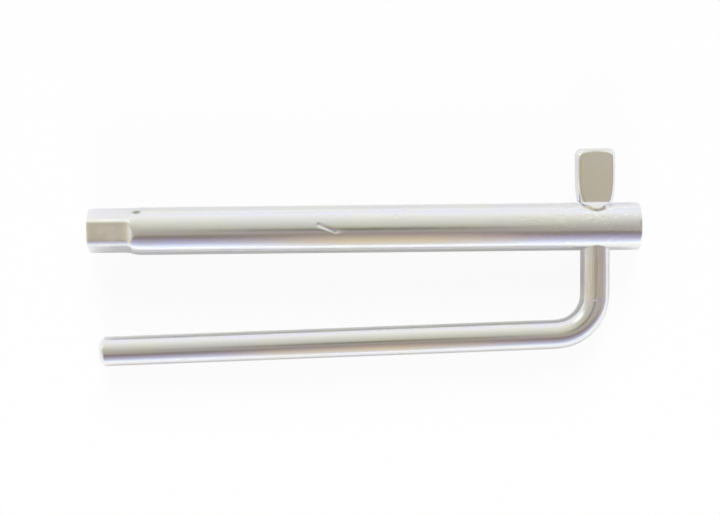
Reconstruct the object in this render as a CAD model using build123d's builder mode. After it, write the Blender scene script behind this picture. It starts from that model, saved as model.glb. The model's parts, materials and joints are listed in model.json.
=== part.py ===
"""Radiator bleed key: a swaged hexagon tube with a bent lever bar that swivels through a cross hole.

Frame: millimetres, origin at the middle of the socket mouth on the tube's axis, +X along the tube
towards the lever bar, +Z up with the key lying settled on a flat surface at z = -tube_d / 2.
The key rests on the tube and on the tip of the thinner lever, so it lies rolled a little about X.
"""
from build123d import *
from math import asin, cos, degrees, radians, sin, tan
import os

# tube and its hexagon end
tube_d = 10.0
tube_wall = 1.0
tube_len = 115.0
hex_outer_af = 8.3  # across flats, outside
socket_af = 6.0  # across flats, inside
hex_len = 8.8  # straight part of the hexagon
shoulder_slope = 50.0  # degrees, steep end of each flat where the press stopped
shoulder_overrun = 0.3  # the shoulders are cut this far past the point where they leave the metal
nose_start = 8.25  # the round tube starts to narrow towards the hexagon's corners here
nose_len = 2.6
nose_drop = 0.28  # how much its radius narrows by
hex_corner_r = 0.65  # outside corners, scaled for the inside ones
flat_turn = 30  # degrees, puts a flat square to the plane of the key
mouth_bevel = 0.3
tail_bevel = 0.25
end_bevel_share = 0.4  # the most of a wall that each end bevel may take

# lever bar and the cross hole that it turns in
rod_d = 6.2
swivel_gap = 0.08  # radial running clearance in the cross hole
swivel_inset = 9.1  # cross hole axis from the tail end of the tube
rim_bevel = 0.45  # dished rim of the cross hole on the blade side
lever_reach = 22.45  # tube axis to lever axis, below the cross hole
lever_splay = 1.59  # degrees, lever away from parallel to the tube
bend_r = 8.2  # centreline radius of the bend
lever_tip_inset = 1.95  # lever tip from the plane of the socket mouth
lever_tip_bevel = 1.0

# blade pressed on the other end of the bar
blade_gap = 0.15  # shoulder of the blade to the tube
neck_foot_gap = 0.05  # foot of the neck above the dished rim
blade_len = 11.15
blade_root_w = 7.5
blade_flare_len = 4.0  # from the root to where the blade is nearly at its full width
blade_flare_w = 8.35
blade_tip_w = 8.45
blade_root_t = 4.0
blade_tip_t = 2.7
blade_side_share = 0.42  # side rounding, as a share of the thickness
blade_corner_r = 1.5

tube_r = tube_d / 2
rod_r = rod_d / 2
bore_r = tube_r - tube_wall
hole_r = rod_r + swivel_gap
swivel_x = tube_len - swivel_inset
lever_tip_reach = lever_reach + (swivel_x - lever_tip_inset) * tan(radians(lever_splay))
blade_root = tube_r + blade_gap
blade_top = blade_root + blade_len
blade_flare = blade_root + blade_flare_len
blade_flare_t = blade_root_t + (blade_tip_t - blade_root_t) * blade_flare_len / blade_len
neck_foot = tube_r - rim_bevel + neck_foot_gap
mouth_wall = (hex_outer_af - socket_af) / 2

# the settled roll: tube and lever tip touch the same flat surface
roll = asin((tube_r - rod_r) / lever_tip_reach)
swivel_dir = Vector(0, cos(roll), sin(roll))
face_dir = Vector(0, -sin(roll), cos(roll))
bar_axis = Axis((swivel_x, 0, 0), swivel_dir)
key_plane = Plane(origin=(0, 0, 0), x_dir=(1, 0, 0), z_dir=face_dir)  # holds both pieces' centrelines


def section_at(x):
    """Cross-section plane of the tube at x: its own x faces the same way as the front flat."""
    return Plane(origin=(x, 0, 0), x_dir=face_dir, z_dir=(1, 0, 0))


def bar_section_at(reach):
    """Cross-section plane of the bar at a distance from the tube's axis: its own x runs along the tube."""
    return Plane(origin=Vector(swivel_x, 0, 0) + swivel_dir * reach, x_dir=(1, 0, 0), z_dir=swivel_dir)


def swaged_rod(round_r, across_flats, corner_r, length):
    """A round rod that narrows in a short cone to a pressed hexagon, whose flats end in steep shoulders."""
    run_out = (round_r - across_flats / 2) / tan(radians(shoulder_slope)) + shoulder_overrun
    wide_flats = across_flats + 2 * run_out * tan(radians(shoulder_slope))
    with BuildPart() as rod:
        with BuildSketch(section_at(0)):
            hexagon = RegularPolygon(across_flats / 2, 6, major_radius=False, rotation=flat_turn)
            fillet(hexagon.vertices(), corner_r)
        extrude(amount=hex_len)
        with BuildSketch(section_at(hex_len)):
            hexagon = RegularPolygon(across_flats / 2, 6, major_radius=False, rotation=flat_turn)
            fillet(hexagon.vertices(), corner_r)
        with BuildSketch(section_at(hex_len + run_out)):
            hexagon = RegularPolygon(wide_flats / 2, 6, major_radius=False, rotation=flat_turn)
            fillet(hexagon.vertices(), corner_r * wide_flats / across_flats)
        loft(ruled=True)
        with BuildSketch(section_at(hex_len + run_out)):
            Circle(wide_flats / 2)
        extrude(amount=length - hex_len - run_out)
    with BuildPart() as round_form:
        with BuildSketch(section_at(0)):
            Circle(round_r - nose_drop)
        extrude(amount=nose_start)
        with BuildSketch(section_at(nose_start)):
            Circle(round_r - nose_drop)
        with BuildSketch(section_at(nose_start + nose_len)):
            Circle(round_r)
        loft(ruled=True)
        with BuildSketch(section_at(nose_start + nose_len)):
            Circle(round_r)
        extrude(amount=length - nose_start - nose_len)
    return rod.part & round_form.part


# Socket tube: drawn steel tube, hexagon pressed over its first end, cross hole drilled near its tail
outer_form = swaged_rod(tube_r, hex_outer_af, hex_corner_r, tube_len)
inner_form = swaged_rod(bore_r, socket_af, hex_corner_r * socket_af / hex_outer_af, tube_len)

with BuildPart() as socket_tube:
    add(outer_form)
    add(inner_form, mode=Mode.SUBTRACT)
    mouth_edges = socket_tube.faces().sort_by(Axis.X)[0].edges()
    chamfer(mouth_edges, min(mouth_bevel, end_bevel_share * mouth_wall))
    tail_edges = socket_tube.faces().sort_by(Axis.X)[-1].edges()
    chamfer(tail_edges, min(tail_bevel, end_bevel_share * tube_wall))
    with BuildSketch(bar_section_at(0)):
        Circle(hole_r)
    extrude(amount=2 * tube_r, both=True, mode=Mode.SUBTRACT)
    rims = socket_tube.edges().filter_by(lambda edge: edge.is_closed and edge.geom_type == GeomType.BSPLINE)
    chamfer(rims.sort_by(bar_axis)[-1], rim_bevel)

# Lever bar: one round bar, pressed flat to a blade at one end, bent back along the tube at the other
splay = radians(lever_splay)
bend_turn = radians(90) - splay
bend_end_x = swivel_x - bend_r * (1 - cos(bend_turn))
bend_end_reach = lever_reach + (swivel_x - bend_end_x) * tan(splay)
bend_start_reach = bend_end_reach - bend_r * sin(bend_turn)

with BuildPart() as lever_bar:
    # blade, flared from its root and thinner towards its end, with its end corners rounded
    with BuildSketch(bar_section_at(blade_root)):
        RectangleRounded(blade_root_w, blade_root_t, blade_side_share * blade_root_t)
    with BuildSketch(bar_section_at(blade_flare)):
        RectangleRounded(blade_flare_w, blade_flare_t, blade_side_share * blade_flare_t)
    with BuildSketch(bar_section_at(blade_top)):
        RectangleRounded(blade_tip_w, blade_tip_t, blade_side_share * blade_tip_t)
    loft(ruled=True)
    with BuildSketch(key_plane):
        with Locations((swivel_x, blade_top - blade_len)):
            RectangleRounded(blade_tip_w, 2 * blade_len, blade_corner_r)
    extrude(amount=blade_root_t, both=True, mode=Mode.INTERSECT)
    # neck, from the blade's root down to the round bar
    with BuildSketch(bar_section_at(blade_root)):
        RectangleRounded(blade_root_w, blade_root_t, blade_side_share * blade_root_t)
    with BuildSketch(bar_section_at(neck_foot)):
        Circle(rod_r)
    loft(ruled=True)
    # round bar through the cross hole, round the bend and back along the tube
    with BuildLine(key_plane) as route:
        Line((swivel_x, neck_foot), (swivel_x, -bend_start_reach))
        bend = CenterArc((swivel_x - bend_r, -bend_start_reach), bend_r, 0, -degrees(bend_turn))
        Line(bend @ 1, (lever_tip_inset, -lever_tip_reach))
    with BuildSketch(bar_section_at(neck_foot)):
        Circle(rod_r)
    sweep(path=route.wire())
    lever_tip = lever_bar.faces().sort_by(Axis.X)[0]
    chamfer(lever_tip.edges(), lever_tip_bevel)

os.makedirs("parts", exist_ok=True)

socket_tube.part.label = "socket_tube"
export_step(socket_tube.part, "parts/socket_tube.step")

lever_bar.part.label = "lever_bar"
export_step(lever_bar.part, "parts/lever_bar.step")
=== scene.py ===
import json

import bmesh
import bpy
import numpy as np
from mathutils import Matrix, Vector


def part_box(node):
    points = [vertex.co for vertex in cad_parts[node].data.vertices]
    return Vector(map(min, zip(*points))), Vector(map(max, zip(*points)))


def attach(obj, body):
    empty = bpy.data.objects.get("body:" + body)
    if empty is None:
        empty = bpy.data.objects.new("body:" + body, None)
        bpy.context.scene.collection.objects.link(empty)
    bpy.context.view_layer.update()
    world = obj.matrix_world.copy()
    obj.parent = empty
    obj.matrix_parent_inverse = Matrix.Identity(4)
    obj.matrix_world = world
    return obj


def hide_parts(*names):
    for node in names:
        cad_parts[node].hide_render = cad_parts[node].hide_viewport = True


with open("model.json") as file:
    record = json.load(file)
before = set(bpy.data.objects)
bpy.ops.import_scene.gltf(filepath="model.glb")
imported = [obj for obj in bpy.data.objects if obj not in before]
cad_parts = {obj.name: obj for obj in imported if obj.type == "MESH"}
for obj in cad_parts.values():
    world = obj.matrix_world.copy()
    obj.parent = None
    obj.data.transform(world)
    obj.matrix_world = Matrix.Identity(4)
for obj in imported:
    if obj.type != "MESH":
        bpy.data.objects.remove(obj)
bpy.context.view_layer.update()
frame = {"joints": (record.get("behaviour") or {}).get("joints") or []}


# ---- Socket tube -------------------------------------------------------------------------------
# Drawn steel tube, 10 mm round, with a hexagon pressed into its first end to fit a bleed screw and
# a cross hole drilled near its tail. Bright zinc plated after the pressing and drilling, so the
# plating runs over the steep shoulders, the end bevels and the dished rim of the hole.

mm = 0.001
swivel = frame["joints"][0]
across = np.array(swivel["axis"])  # along the cross hole, towards the blade
front = np.cross((1.0, 0.0, 0.0), across)  # square to the plane of the key, out of its front face
hole_x = swivel["pos_m"][0] / mm
tube_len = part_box("socket_tube")[1].x / mm
tube_r, bore_r, hole_r = 5.0, 4.0, 3.18
flat_out, flat_in, hex_len = 4.21, 3.0, 8.8  # half across the flats, outside and inside
off_centre, skew = 0.17, np.radians(-3)  # how far off the axis, and how far turned, the press left it
mouth_bevel, tail_bevel, rim_bevel = 0.3, 0.25, 0.45


def key_point(x, reach, rise):
    """A place in the key's own plane, in metres: x along the tube, reach along the cross hole, and rise
    to the front, each times its direction and added up."""
    x, reach, rise = np.broadcast_arrays(x, reach, rise)
    along = np.array((1.0, 0.0, 0.0))
    return (x[..., None] * along + reach[..., None] * across + rise[..., None] * front) * mm


def eased(x, low, high):
    """0 below low, 1 above high and a smooth S between: 3 t squared less 2 t cubed."""
    share = np.clip((x - low) / (high - low), 0, 1)
    return share * share * (3 - 2 * share)


def soft_least(a, b, sharp):
    """The smaller of two lengths, with the corner between them rounded: a power sum with a negative
    power."""
    return (a ** -sharp + b ** -sharp) ** (-1 / sharp)


def swaged_radius(x, turn, half_flat, round_r, sharp=26.0):
    """The distance from the tube's axis to its skin. The hexagon is half_flat divided by the largest
    cosine of the turn from each flat, taken as a power sum so that its corners are round. Past hex_len
    the flats climb a steep shoulder, the round form narrows in a short cone, deepest beside the front and
    back flats, and the skin is the smaller of the two, softly."""
    # the shoulder's soft foot, the cone's depth, and how sharply shoulder and cone join
    foot, narrowing, join = 0.22, 0.29, 60.0
    to_flat = np.stack([np.maximum(np.cos(turn - np.radians(60 * k)), 0) for k in range(6)])
    nearness = (to_flat ** sharp).sum(0) ** (1 / sharp)
    climb = foot * np.logaddexp(0, (x - hex_len - 0.02) / foot)
    cone = round_r - narrowing * (0.3 + 0.7 * np.sin(turn) ** 2) * (1 - eased(x, 7.7, 11.2))
    return soft_least((half_flat + climb) / nearness, cone, join)


def nick(x, turn, x0, turn0, x1, turn1, width, depth):
    """A straight tool nick on the unrolled skin: depth times a bell curve of the distance from a
    segment."""
    along = np.array((x1 - x0, np.radians(turn1 - turn0) * tube_r))
    u, v = x - x0, (turn - np.radians(turn0)) * tube_r
    share = np.clip((u * along[0] + v * along[1]) / (along @ along), 0, 1)
    gap = np.hypot(u - share * along[0], v - share * along[1])
    return depth * np.exp(-(gap / width) ** 2)


# each nick: where it starts and ends, as mm along and degrees round, then its width and depth
nicks = [(46.4, 30, 48.0, 17, 0.12, 0.03), (48.2, 14, 51.8, -4, 0.33, 0.19),
         (50.6, 33, 51.6, 37, 0.14, 0.04), (64.4, 41, 66.2, 57, 0.18, 0.07),
         (64.2, 33, 64.4, 32, 0.20, 0.06), (68.2, 40, 69.4, 40, 0.18, 0.05)]
dice = np.random.default_rng(7)
pit_ranges = ((90, 107), (12, 43), (0.15, 0.26), (0.01, 0.06))  # mm along, degrees round, size and depth
pits = np.stack([dice.uniform(low, high, 34) for low, high in pit_ranges], -1)


def tube_skin(x, turn):
    """Outside radius: the swaged form, less plain tool nicks, a scatter of small pits that are bell
    curves of the distance from their middles, and a slight waviness made of sines. One corner is rounder
    than the rest."""
    turn = (turn + np.pi) % (2 * np.pi) - np.pi
    rubbed = np.exp(-((turn - skew + np.radians(30)) / 0.4) ** 2)
    skin = swaged_radius(x, turn - skew, flat_out, tube_r, 26.0 - 16.0 * rubbed)
    for line in nicks:
        skin = skin - nick(x, turn, *line)
    for pit_x, pit_turn, size, depth in pits:
        gap = ((x - pit_x) ** 2 + ((turn - np.radians(pit_turn)) * tube_r) ** 2) / size ** 2
        skin = skin - depth * np.exp(-gap)
    wave = np.sin(0.31 * x + 2 * turn) * np.sin(0.11 * x - turn + 1) + 0.6 * np.sin(0.83 * x + 3 * turn + 2)
    return skin - 0.004 * (1 + 0.6 * wave)


def tube_lining(x, turn):
    """Inside radius: the pressed hexagon socket, opening to the plain bore by the same formula as
    outside."""
    return swaged_radius(x, turn, flat_in, bore_r)


class Shell:
    """Gathers sheets of points, joins them where they meet, and makes one closed piece of them."""

    def __init__(self):
        self.points, self.faces, self.count = [], [], 0

    def sheet(self, points, keep=None, ring=(False, False)):
        """A grid of points made into four-sided faces. ring closes it along its rows or columns, keep
        leaves out the faces where it is false."""
        rows, cols = points.shape[:2]
        index = np.arange(rows * cols).reshape(rows, cols) + self.count
        low = index if ring[0] else index[:-1]
        high = np.roll(index, -1, 0) if ring[0] else index[1:]
        quads = (np.stack([low, high, np.roll(high, -1, 1), np.roll(low, -1, 1)], -1) if ring[1] else
                 np.stack([low[:, :-1], high[:, :-1], high[:, 1:], low[:, 1:]], -1))
        self.faces.append(quads[keep] if keep is not None else quads.reshape(-1, 4))
        self.points.append(points.reshape(-1, 3))
        self.count += rows * cols

    def piece(self, name):
        """Merges the seams and poles, turns every face outwards and shades the skin smooth."""
        mesh = bpy.data.meshes.new(name)
        used, corners = np.unique(np.concatenate(self.faces), return_inverse=True)
        mesh.from_pydata(np.concatenate(self.points)[used], [], corners.reshape(-1, 4))
        whole = bmesh.new()
        whole.from_mesh(mesh)
        bmesh.ops.remove_doubles(whole, verts=whole.verts, dist=1.5e-6)
        bmesh.ops.recalc_face_normals(whole, faces=whole.faces)
        for face in whole.faces:
            face.smooth = True
        whole.to_mesh(mesh)
        whole.free()
        made = bpy.data.objects.new(name, mesh)
        bpy.context.scene.collection.objects.link(made)
        return made


def spaced(*runs):
    """Stations along a line: each run is its start, its end and how many steps it takes."""
    parts = [np.linspace(a, b, n, endpoint=False) for a, b, n in runs]
    return np.append(np.concatenate(parts), runs[-1][1])


# the skin round both ends of the hole is drawn as rings: how far they reach each way along the tube, and
# the degrees round from the front on the blade's side and on the lever's side
window, blade_side, lever_side = 5.5, (27, 153), (207, 333)
turns = np.radians(spaced((lever_side[1] - 360, blade_side[0], 44), (*blade_side, 88),
                          (blade_side[1], lever_side[0], 20), (*lever_side, 50)))[:-1]
degrees = np.degrees(turns)
by_blade = (degrees > blade_side[0] - 0.1) & (degrees < blade_side[1] + 0.1)
by_lever = degrees > lever_side[0] - 0.1
near_hole = (hole_x - window, hole_x + window, 40)
outside_x = spaced((mouth_bevel, 8.4, 14), (8.4, 9.8, 24), (9.8, 12, 14), (12, 18, 10), (18, 47, 26),
                   (47, 52.2, 34), (52.2, 62.8, 10), (62.8, 67.4, 30), (67.4, 89, 20),
                   (89, near_hole[0], 56), near_hole, (near_hole[1], tube_len - tail_bevel, 6))
inside_x = spaced((mouth_bevel, 8.4, 6), (8.4, 10.2, 16), (10.2, near_hole[0], 18), near_hole,
                  (near_hole[1], tube_len - tail_bevel, 3))[::-1]
bevel_steps = 4
quarter = np.linspace(0, np.pi / 2, bevel_steps + 1)[1:]


def bevel_rows(size):
    """A rounded edge as rows going from the skin to the end face: how far along it is, the sine of a
    quarter turn, and how far in, one less its cosine."""
    return size * np.sin(quarter), size * (1 - np.cos(quarter))


# the tube's outline, right round the wall: outside, tail end, lining, mouth end
tail_on, tail_in = bevel_rows(tail_bevel)
mouth_on, mouth_in = bevel_rows(mouth_bevel)
tail_x, mouth_x = tube_len - tail_bevel + tail_on, mouth_bevel - mouth_on
wall_x = np.concatenate([outside_x, tail_x, tail_x[::-1], inside_x, mouth_x, mouth_x[::-1]])
is_lining = np.repeat([0, 1, 0], [len(outside_x) + bevel_steps, len(inside_x) + 2 * bevel_steps,
                                  bevel_steps])
inset = np.concatenate([np.zeros(len(outside_x)), tail_in, tail_in[::-1],
                        np.zeros(len(inside_x)), mouth_in, mouth_in[::-1]])
X, TURN = np.meshgrid(wall_x, turns, indexing="ij")
radius = np.where(is_lining[:, None], tube_lining(X, TURN) + inset[:, None],
                  tube_skin(X, TURN) - inset[:, None])
tube_shell = Shell()
in_window = (by_blade & (degrees < blade_side[1] - 0.1)) | by_lever
near_middle = np.abs(wall_x - hole_x) < window + 0.01
by_hole = near_middle & np.roll(near_middle, -1)
aside = off_centre * (1 - eased(X, 7.4, 10.4))
tube_shell.sheet(key_point(X, radius * np.sin(TURN) + aside, radius * np.cos(TURN)),
                 keep=~(by_hole[:, None] & in_window[None, :]), ring=(True, True))


def round_hole(side, skin, skin_r, rings, dish):
    """Skin round one end of the cross hole. Each ring lies between the window's border and the rim, where
    the rim is a circle seen along the hole, and dish gives how deep the skin sinks at a distance from the
    hole's axis."""
    span = np.radians(degrees[by_blade] - 90 if side > 0 else
                      np.append(degrees[by_lever], lever_side[1]) - 270)
    across_x = spaced(near_hole)
    edge_x = np.concatenate([np.full(len(span) - 1, across_x[0]), across_x[:-1],
                             np.full(len(span) - 1, across_x[-1]), across_x[:0:-1]])
    edge_turn = np.concatenate([span[:-1], np.full(len(across_x) - 1, span[-1]),
                                span[:0:-1], np.full(len(across_x) - 1, span[0])])
    way = np.arctan2(edge_turn * tube_r, edge_x - hole_x)
    rim_x, rim_turn = hole_x + hole_r * np.cos(way), np.arcsin(hole_r * np.sin(way) / skin_r)
    part = (1 - (1 - np.linspace(0, 1, rings)) ** 1.7)[:, None]
    x = edge_x + (rim_x - edge_x) * part
    turn = edge_turn + (rim_turn - edge_turn) * part
    r = skin(x, np.pi / 2 * (2 - side) + turn)
    sunk = dish(np.hypot(x - hole_x, r * np.sin(turn)))
    return x, side * (r * np.cos(turn) - sunk), -side * r * np.sin(turn)


def dished(distance):
    """The blade side's rim: a bevel at 45 degrees with a soft shoulder, in a shallow hollow from the
    pressing, which is a bell curve of the distance past the rim and fades out before the rings end."""
    bevel = 0.07 * np.logaddexp(0, (hole_r + rim_bevel - distance) / 0.07)
    return bevel + 0.12 * np.exp(-((distance - hole_r) / 0.85) ** 2 - (distance - hole_r) ** 6)


def deburred(distance):
    """The lever side's rim: only a small broken edge, at 45 degrees and softly joined to the skin."""
    return 0.03 * np.logaddexp(0, (hole_r + 0.1 - distance) / 0.03)


for side, dish in ((1, dished), (-1, deburred)):
    skin = round_hole(side, tube_skin, tube_r, 26, dish)
    lining = round_hole(side, tube_lining, bore_r, 8, lambda distance: 0 * distance)
    tube_shell.sheet(key_point(*skin), ring=(False, True))
    tube_shell.sheet(key_point(*lining), ring=(False, True))
    depth = np.linspace(0, 1, 5)[:, None]
    through = [a[-1] + (b[-1] - a[-1]) * depth for a, b in zip(skin, lining)]
    tube_shell.sheet(key_point(*through), ring=(False, True))

socket_tube = tube_shell.piece("swaged_socket_tube")


class Wire:
    """One value or colour inside a node tree. Arithmetic on wires and plain numbers adds Math nodes."""

    def __init__(self, socket):
        self.socket = socket

    def math(self, operation, *others):
        inputs = {0: self} | dict(enumerate(others, 1))
        return node(self.socket.id_data, "Math", dict(operation=operation), inputs)

    def flipped(self, operation, other):
        return node(self.socket.id_data, "Math", dict(operation=operation), {0: other, 1: self})

    def __add__(self, other): return self.math("ADD", other)
    def __radd__(self, other): return self.math("ADD", other)
    def __sub__(self, other): return self.math("SUBTRACT", other)
    def __rsub__(self, other): return self.flipped("SUBTRACT", other)
    def __mul__(self, other): return self.math("MULTIPLY", other)
    def __rmul__(self, other): return self.math("MULTIPLY", other)
    def __pow__(self, other): return self.math("POWER", other)
    def __rpow__(self, other): return self.flipped("POWER", other)


def node(tree, kind, settings, sockets, out=0):
    """Adds one shader node: first its settings, among them a ramp's stops, then each socket's value or
    link."""
    made = tree.nodes.new("ShaderNode" + kind)
    for name, value in settings.items():
        if name == "stops":
            for place, colour in value[1:-1]:
                made.color_ramp.elements.new(place)
            for stop, (place, colour) in zip(made.color_ramp.elements, value):
                stop.position, stop.color = place, (*colour, 1)
        else:
            setattr(made, name, value)
    for name, value in sockets.items():
        if isinstance(value, Wire):
            tree.links.new(value.socket, made.inputs[name])
        else:
            made.inputs[name].default_value = value
    return Wire(made.outputs[out])


def blended(tree, share, first, second):
    """Mixes two colours by a share from 0 to 1."""
    return node(tree, "Mix", dict(data_type="RGBA"), {"Factor": share, 6: first, 7: second}, 2)


def within(value, low, high):
    """0 below low, 1 above high, and an easy slope between."""
    return node(value.socket.id_data, "MapRange", dict(interpolation_type="SMOOTHSTEP"),
                {"Value": value, "From Min": low, "From Max": high})


def speckle(tree, place, stretch, detail, rough=0.55):
    """Noise over the piece: stretch gives how many grains there are to a millimetre along each axis."""
    scaled = node(tree, "VectorMath", dict(operation="MULTIPLY"), {0: place, 1: [s / mm for s in stretch]})
    return node(tree, "TexNoise", {}, {"Vector": scaled, "Scale": 1, "Detail": detail, "Roughness": rough})


def bare_plate(piece, name):
    """Gives a piece a bare metal plate. Returns its node tree and the place on the piece, for patterns."""
    finish = bpy.data.materials.new(name)
    finish.use_nodes = True
    finish.node_tree.nodes["Principled BSDF"].inputs["Metallic"].default_value = 1.0
    piece.data.materials.append(finish)
    return finish.node_tree, node(finish.node_tree, "TexCoord", {}, {}, "Object")


def coated(tree, tint, rough, height):
    """Gives a bare plate its colour, its roughness and a relief 0.009 mm deep."""
    relief = node(tree, "Bump", {}, {"Strength": 1.0, "Distance": 0.009 * mm, "Height": height})
    for name, wire in (("Base Color", tint), ("Roughness", rough), ("Normal", relief)):
        tree.links.new(wire.socket, tree.nodes["Principled BSDF"].inputs[name])


# bright zinc plate over drawn tube: faint warm and cool cast, draw lines along the tube, fine haze
tree, place = bare_plate(socket_tube, "zinc_plated_tube")
clouds = speckle(tree, place, (0.10, 0.28, 0.28), 3.0)
cast = blended(tree, within(clouds, 0.38, 0.62), (0.835, 0.835, 0.80, 1), (0.82, 0.82, 0.845, 1))
draw_lines = speckle(tree, place, (0.04, 2.6, 2.6), 3.0)
haze = speckle(tree, place, (0.9, 1.6, 1.6), 4.0)
stain = within(speckle(tree, place, (0.35, 0.9, 0.9), 2.0), 0.66, 0.80)
along = node(tree, "SeparateXYZ", {}, {0: place})
height_z = Wire(along.socket.node.outputs[2])
pressed = 1 - within(along, (hex_len - 0.4) * mm, (hex_len + 0.4) * mm)  # the press left the hexagon duller
# painted reflection: the hexagon's flat that faces the front is tinted a lighter warm cream, standing in for
# the warm light it mirrors from above
painted_front_sheen = pressed * within(height_z, 0.0037, 0.0040) * (0.4 + 0.6 * within(clouds, 0.40, 0.55))
shade_spot_at, shade_spot_stretch = (0.0103, 0.0039, 0.0031), (900, 1700, 1200)  # painted shade: a dark olive spot where the upper flat meets the shoulder, standing in for a dark reflection in that hollow
from_shade_spot = node(tree, "VectorMath", dict(operation="SUBTRACT"), {0: place, 1: shade_spot_at})
from_shade_spot = node(tree, "VectorMath", dict(operation="MULTIPLY"), {0: from_shade_spot, 1: shade_spot_stretch})
from_shade_spot = node(tree, "VectorMath", dict(operation="LENGTH"), {0: from_shade_spot}, 1)
# painted shade: the dark spot fades out from its middle over the shoulder
painted_shoulder_shade = 1 - within(from_shade_spot + haze * 0.6, 0.5, 1.5)
# near-white specks painted over the pitted stretch of the tube, from 92 to 100 mm along
pale_specks = within(speckle(tree, place, (0.8, 1.3, 1.3), 1.0), 0.60, 0.72) * within(along, 0.092, 0.100)
# painted reflection: the warm cream tint on the front flat
tint = blended(tree, painted_front_sheen, cast, (1.0, 0.985, 0.885, 1))
tint = blended(tree, stain * 0.35, tint, (0.70, 0.69, 0.60, 1))
tint = blended(tree, pale_specks * 0.55, tint, (1.0, 1.0, 0.97, 1))
# patches within the painted front-flat tint: browner near the mouth, greyer further along
front_flat_patches = painted_front_sheen * within(speckle(tree, place, (0.5, 0.45, 0.45), 2.0), 0.42, 0.62)
front_patch_tint = blended(tree, within(along, 0.002, 0.006), (0.84, 0.80, 0.62, 1), (0.88, 0.88, 0.86, 1))
tint = blended(tree, front_flat_patches * 0.5, tint, front_patch_tint)
# painted shade: the dark olive spot on the shoulder
tint = blended(tree, painted_shoulder_shade * 0.85, tint, (0.20, 0.21, 0.08, 1))
rough = 0.08 + 0.06 * haze + 0.04 * draw_lines + 0.10 * stain + 0.20 * pressed * (0.7 + 0.6 * clouds)
height = draw_lines * 0.6 + haze * 0.25 + speckle(tree, place, (0.25, 0.7, 0.7), 2.0) * 1.6
coated(tree, tint, rough, height)

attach(socket_tube, "tube")
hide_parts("socket_tube")
socket_tube.visible_glossy = False  # the two pieces lie too close to be mirrored in each other


# ---- Lever bar ---------------------------------------------------------------------------------
# One round steel bar, 6.2 mm thick, that passes through the cross hole and turns and slides in it.
# Its upper end is pressed flat to a thumb blade, wider than the hole, and the lower part is bent
# back along the tube. The same zinc plate, duller and browner where the bar rubs in the hole.

bar_r, neck_r = 3.1, 3.03
blade_top, blade_root = 16.3, 5.15
corner_r, end_bevel = 1.5, 15.68  # the blade's rounded corners, and where its rounded end starts
bend_r, bend_start, bend_turn = 8.2, 14.4745, np.radians(88.41)
tip_x, tip_bevel, tip_round = 1.95, 1.0, 0.35  # tip_round is the share of the bevel that is round
leg_len = (hole_x - bend_r * (1 - np.cos(bend_turn)) - tip_x) / np.sin(bend_turn)
bar_len = blade_top + bend_start + bend_r * bend_turn + leg_len


def averaged(line, width, step):
    """A line of values, each averaged with those beside it by weights that are a bell curve."""
    bell = np.exp(-(np.arange(-3 * width, 3 * width, step) / width) ** 2)
    return np.convolve(line, bell / bell.sum(), "same")


def bar_route(run):
    """The bar's centre line in the key's plane and the direction square to it, at a run from the blade's
    end: straight down through the hole, round an arc whose ends are eased, and straight back along the
    tube. Each place is the sum of the short steps before it."""
    step, ease, early = 0.02, 1.5, 0.11  # early starts the eased arc sooner, so that it clears the same box
    fine = np.arange(-3 * ease, bar_len + 3 * ease, step)
    turned = np.clip((fine - blade_top - bend_start + early) / bend_r, 0, bend_turn)
    inner = slice(300, -300)  # both ends of the bar are straight
    turned[inner] = averaged(turned, ease, step)[inner]
    x = hole_x - np.cumsum(np.sin(turned)) * step
    reach = blade_top - fine[0] - np.cumsum(np.cos(turned)) * step
    return [np.interp(run, fine, value) for value in (x, reach, np.cos(turned), -np.sin(turned))]


fold_top, fold_foot = blade_top + 13.6, blade_top + 17.0
arc_end, bevel_start = blade_top + bend_start + 12.8, bar_len - tip_bevel - 0.3
runs = spaced((0.0, 1.8, 36), (1.8, 9.0, 30), (9.0, 10.4, 14), (10.4, 12.6, 50), (12.6, 13.0, 4),
              (13.0, fold_top, 26), (fold_top, fold_foot, 34), (fold_foot, arc_end, 30),
              (arc_end, bevel_start, 76), (bevel_start, bar_len, 14))
S, A = np.meshgrid(blade_top - runs, np.linspace(0, 2 * np.pi, 129)[:-1], indexing="ij")


def drawn_through(at, stations, values, blur):
    """A curve through stations with its corners eased: the straight runs between them, averaged with a
    bell curve of weights blur wide."""
    step = 0.02
    fine = np.arange(-40.0, blade_top + 1.0, step)
    line = averaged(np.interp(fine, stations, values), blur, step)
    return np.interp(np.maximum(at, -38.0), fine, line)


# The press left the blade as an oval, half_w by half_t, cut by two flats that thin towards its end. The
# oval's thickness follows from how wide each flat is, flat_w. Low on the blade everything follows the
# tube's saddle.
saddle = tube_r - np.sqrt(tube_r ** 2 - (2.2 * np.sin(A)) ** 2)
low = S + saddle * np.clip((6.2 - S) / 1.2, 0, 1) * np.clip((S - 2.5) / 1.2, 0, 1)
half_w = drawn_through(low, (-90.0, 4.2, 4.78, 4.98, 5.16, 5.5, 6.4, 8.0, 10.5, 17.0),
                       (neck_r, neck_r, 3.08, 3.42, 3.66, 3.77, 3.93, 4.10, 4.20, 4.22), 0.07)
half_flat = drawn_through(S, (-90.0, 3.2, 3.85, blade_root, 17.0), (9.0, 6.0, 3.12, 2.0, 1.31), 0.12)
corner = np.clip(S - (blade_top - corner_r), 0, corner_r)
half_w = half_w - corner_r + np.sqrt(corner_r ** 2 - corner ** 2 + 1e-9)
flat_w = drawn_through(
    S, (5.2, 5.5, 5.9, 6.5, 7.2, 8.4, 9.7, 12.0, 13.6, 14.4, 14.9, 15.3, 15.55, 15.7, 17.0),
    (2.5, 2.75, 2.95, 3.12, 3.27, 3.42, 3.52, 3.53, 3.50, 3.40, 3.20, 2.85, 2.3, 0.0, 0.0), 0.06)
blade_t = half_flat / np.sqrt(1 - np.minimum(flat_w / half_w, 0.95) ** 2)
over_end = np.clip((S - end_bevel) / (blade_top - end_bevel), 0, 1)
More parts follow.
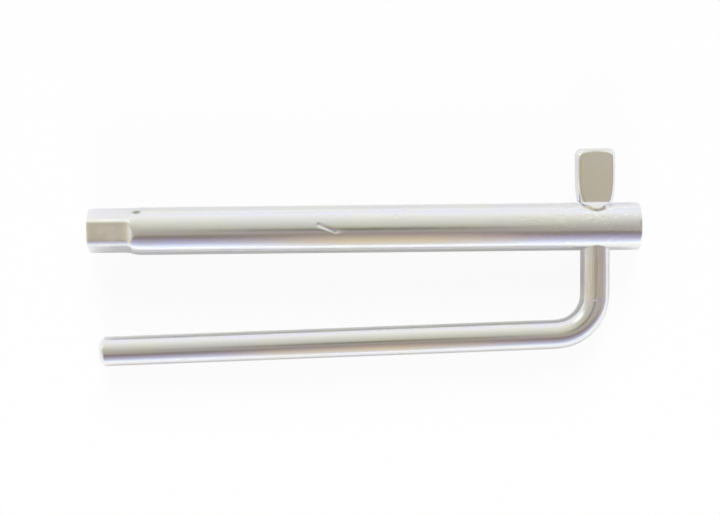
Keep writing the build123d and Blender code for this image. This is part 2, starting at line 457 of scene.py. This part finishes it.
blade_t = blade_t * (0.33 + 0.67 * np.sqrt(1 - over_end ** 2))
on_blade = eased(S, 4.35, 4.95)
half_t = np.where(S > 4.35, blade_t * on_blade, 0) + (1 - on_blade) * drawn_through(
    S, (-90.0, 3.6, 4.2, 5.6), (neck_r, neck_r, 3.04, 2.9), 0.15)
# past the bend the bar keeps its full thickness, and its tip is bevelled, partly straight and partly
# round
round_up = (bar_r - neck_r) * np.clip((runs - blade_top - 16) / 20, 0, 1)[:, None]
to_tip = np.clip(tip_bevel - (bar_len - runs), 0, None)[:, None]
tip_trim = np.where(to_tip > 0, tip_bevel - np.sqrt(np.maximum(tip_bevel ** 2 - to_tip ** 2, 0)) * tip_round
                    - (tip_bevel - to_tip) * (1 - tip_round), 0)
wide = (half_w + round_up - tip_trim) * np.cos(A)
thick = np.maximum(half_t + round_up - tip_trim, 0.4) * np.abs(np.sin(A))
rise = np.sign(np.sin(A)) * soft_least(np.maximum(thick, 1e-4), half_flat, 26)

route_x, route_reach, square_x, square_reach = [a[:, None] for a in bar_route(runs)]
# the fold where the bend starts, on the front: a sharp groove with a ridge above it, in a shallow dent
front_half, fold_ends, slant = rise > 0, ((wide - 0.25) / 1.5) ** 6, 0.10 * wide
gouge = 0.09 * np.exp(-(fold_ends + ((S + 15.15 + slant) / 0.19) ** 2)) * front_half
ridge = 0.035 * np.exp(-fold_ends - ((S + 14.85 + slant) / 0.16) ** 2) * front_half
dent = 0.03 * front_half * np.exp(-((S + 15.0) / 1.2) ** 2) * np.exp(-(wide / 2) ** 4)
rise = rise - gouge + ridge - dent
lever_shell = Shell()
body = key_point(route_x + square_x * wide, route_reach + square_reach * wide, rise)
lever_shell.sheet(body, ring=(False, True))
for end in (0, -1):
    middle = body[end].mean(0)
    inwards = np.linspace(0, 1, 6)[:, None, None]
    lever_shell.sheet(body[end] + (middle - body[end]) * inwards, ring=(False, True))
lever_bar = lever_shell.piece("bent_lever_bar")

# the same plate: the blade's pressed flats get a warm mottled tint that is painted reflection of the warm
# light above them, and the neck has brownish rub marks
tree, place = bare_plate(lever_bar, "zinc_plated_bar")
along = node(tree, "SeparateXYZ", {}, {0: place})
height_y = Wire(along.socket.node.outputs[1])
clouds = speckle(tree, place, (0.12, 0.25, 0.25), 3.0)
cast = blended(tree, within(clouds, 0.38, 0.62), (0.82, 0.815, 0.775, 1), (0.80, 0.80, 0.825, 1))
flat_sheen_mottle = within(speckle(tree, place, (0.22, 0.22, 0.22), 2.0), 0.42, 0.60)
up, out_of = [node(tree, "VectorMath", dict(operation="DOT_PRODUCT"), {0: place, 1: way}, 1)
              for way in (across, front)]
flat_slope = 0.0582  # how fast the flats near each other
from_flat = out_of.math("ABSOLUTE") + (up - blade_root * mm) * flat_slope
on_flat = within(from_flat, 0.00194, 0.00198) * within(up, 0.0050, 0.0054)
# painted reflection: the flats are tinted lighter and warmer, mottled, for the warm light they mirror from
# above
cast = blended(tree, on_flat, cast,
               blended(tree, flat_sheen_mottle, (0.885, 0.865, 0.80, 1), (0.90, 0.855, 0.76, 1)))
on_stem = within(along, 0.0995, 0.1010) * within(height_y, -0.0155, -0.0135)
on_stem = on_stem * (1 - within(height_y, 0.0035, 0.0050))
haze = speckle(tree, place, (1.2, 1.2, 1.2), 4.0)
draw_lines = speckle(tree, place, (0.05, 2.2, 2.2), 3.0)
rubs = speckle(tree, place, (2.6, 0.12, 2.6), 3.0)
cast = blended(tree, on_stem * within(rubs, 0.42, 0.60) * 0.7, cast, (0.77, 0.715, 0.655, 1))
rough = 0.12 + 0.07 * haze + 0.085 * on_stem * (0.7 + 0.6 * rubs)
uneven = speckle(tree, place, (0.3, 0.6, 0.6), 2.0)
height = draw_lines * 0.5 * (1 - on_stem) + rubs * on_stem * 2.2 + haze * 0.3 + uneven * 1.4
coated(tree, cast, rough, height)

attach(lever_bar, "lever")
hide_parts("lever_bar")
lever_bar.visible_glossy = False


# ---- Table, room and camera --------------------------------------------------------------------
# The key lies on a plain white table in a bright room. The plating shows the room: what lies over the
# key's length, what lies beside it, what lies past its ends, a dark watcher overhead and a bright
# window. The lamps only light the table, and are not seen in the plating.

table_r, table_z = 1.5, -0.005
key_middle = (0.057, -0.008, 0.0)
rim = np.linspace(0, 2 * np.pi, 65)[:-1]
table_shell = Shell()
spokes = np.array((0.0, 0.2, 1.0))[:, None] * table_r
disc = np.stack([spokes * np.cos(rim) + key_middle[0], spokes * np.sin(rim),
                 np.full((len(spokes), len(rim)), table_z)], -1)
table_shell.sheet(disc, ring=(False, True))
table = table_shell.piece("table")
table_top = bpy.data.materials.new("white_table")
table_top.use_nodes = True
tree = table_top.node_tree
tree.nodes.clear()
matt = node(tree, "BsdfDiffuse", {}, {"Color": (0.665, 0.68, 0.705, 1)})
glow = node(tree, "Emission", {}, {"Color": (0.99, 0.99, 0.99, 1), "Strength": 1.0})
seen = node(tree, "LightPath", {}, {}, "Is Camera Ray")
mirrored = node(tree, "LightPath", {}, {}, "Is Glossy Ray")
shown = node(tree, "MixShader", {}, {0: seen * 0.94 + mirrored * 0.2, 1: matt, 2: glow})
out = tree.nodes.new("ShaderNodeOutputMaterial")
tree.links.new(shown.socket, out.inputs["Surface"])
table.data.materials.append(table_top)

room = bpy.data.worlds.new("room")
bpy.context.scene.world = room
room.use_nodes = True
tree = room.node_tree
tree.nodes.clear()
way = node(tree, "TexCoord", {}, {}, "Generated")
way_x = node(tree, "SeparateXYZ", {}, {0: way}, 0)
way_y, way_z = [Wire(way_x.socket.node.outputs[k]) for k in (1, 2)]
lean = way_y.math("ARCTAN2", way_z) * (1 / np.pi) + 0.49
# Light from the -Y side (-90 degrees) over the top (0) to the +Y side (90), as red, green and blue in
# steps of a twentieth. Both share a pale +Y side. On the -Y side a warm wall faces the key's middle, and
# a cooler, darker one lies beside it.
pale_side = [(20, 0.55, 0.55, 0.50), (45, 0.70, 0.70, 0.65), (65, 0.80, 0.80, 0.80), (80, 0.80, 0.80, 0.90),
             (90, 0.70, 0.75, 0.80)]
midway = [(-90, 0.75, 0.75, 0.85), (-80, 0.65, 0.60, 0.50), (-60, 0.60, 0.50, 0.35),
          (-25, 0.30, 0.25, 0.25), (5, 0.45, 0.45, 0.35), *pale_side]
beside = [(-90, 0.85, 0.95, 0.95), (-80, 0.70, 0.75, 0.95), (-65, 0.45, 0.45, 0.60), (-40, 0.25, 0.20, 0.25),
          (-30, 0.20, 0.20, 0.15), (-20, 0.35, 0.30, 0.30), (5, 0.45, 0.45, 0.40), *pale_side]
# and from the -X end (-180) over the top to the +X end (180)
ends = [(-180, 0.65, 0.65, 0.65), (-70, 0.55, 0.50, 0.40), (-15, 0.45, 0.40, 0.35), (100, 0.40, 0.35, 0.30),
        (165, 0.45, 0.45, 0.55), (180, 0.55, 0.60, 0.65)]
middle, sides = [node(tree, "ValToRGB", dict(stops=[(a / 180 + 0.5, rgb) for a, *rgb in stops]),
                      {"Fac": lean}) for stops in (midway, beside)]
far = node(tree, "ValToRGB", dict(stops=[(a / 360 + 0.5, rgb) for a, *rgb in ends]),
           {"Fac": way_x.math("ARCSINE") * (1 / np.pi) + 0.5})
# where a direction leaves the middle bands for those beside them, and where it points past the ends
off_middle = within((way_x - 0.022).math("ABSOLUTE"), 0.045, 0.105)
low_y = way_y + 0.3 * within(way_x * -1, 0.2, 0.5)
past_ends = within(way_x.math("ABSOLUTE"), 0.14, 0.32) * (1 - within(low_y.math("ABSOLUTE"), 0.25, 0.60))
watcher_at, watcher_width = -4, 7.5  # in the same degrees as the bands
watcher = 2.718 ** (-1 * ((lean - (0.5 + watcher_at / 180)) * (180 / watcher_width)) ** 2)
watcher = (1 - within(way_x.math("ABSOLUTE"), 0.01, 0.15)) * watcher * within(way_z, 0.0, 0.3)
around = blended(tree, past_ends, blended(tree, off_middle, middle, sides), far)
panes = node(tree, "VectorMath", dict(operation="DOT_PRODUCT"), {0: way, 1: (-0.60, 0.60, 0.53)}, 1)
around = blended(tree, within(panes, 0.955, 0.985), around, (1.05, 1.05, 1.0, 1))
around = blended(tree, watcher * 0.60, around, (0, 0, 0, 1))
light = node(tree, "Background", {}, {"Color": around, "Strength": 1.25})
white = node(tree, "Background", {}, {"Color": (1, 1, 1, 1), "Strength": 1.0})
seen = node(tree, "LightPath", {}, {}, "Is Camera Ray")
out = tree.nodes.new("ShaderNodeOutputWorld")
tree.links.new(node(tree, "MixShader", {}, {0: seen, 1: light, 2: white}).socket, out.inputs["Surface"])


def soft_lamp(name, kind, place, power, **spread):
    """Soft light aimed at the middle of the key, felt by the table but not mirrored as a shape."""
    lamp = bpy.data.lights.new(name, kind)
    lamp.energy = power
    for setting, value in spread.items():
        setattr(lamp, setting, value)
    made = bpy.data.objects.new(name, lamp)
    made.location = place
    aim = np.array(key_middle) - np.array(place)
    made.rotation_euler = (0, np.arctan2(np.hypot(aim[0], aim[1]), -aim[2]), np.arctan2(-aim[1], -aim[0]))
    made.visible_glossy = False
    bpy.context.scene.collection.objects.link(made)


soft_lamp("window_light", "SUN", (0.057, 1.20, 0.72), 3.9, angle=np.radians(28))
soft_lamp("low_light", "AREA", (0.0, -1.30, 0.42), 20.0, size=0.50)

eye = bpy.data.cameras.new("overhead_camera")
eye.lens, eye.sensor_width = 74.0, 36.0
camera = bpy.data.objects.new("overhead_camera", eye)
camera.location = (0.05664, -0.00600, 0.310)
camera.rotation_euler = (0, 0, np.radians(-0.61))
bpy.context.scene.collection.objects.link(camera)
bpy.context.scene.camera = camera
bpy.context.scene.view_settings.view_transform = "Standard"

bpy.context.view_layer.update()
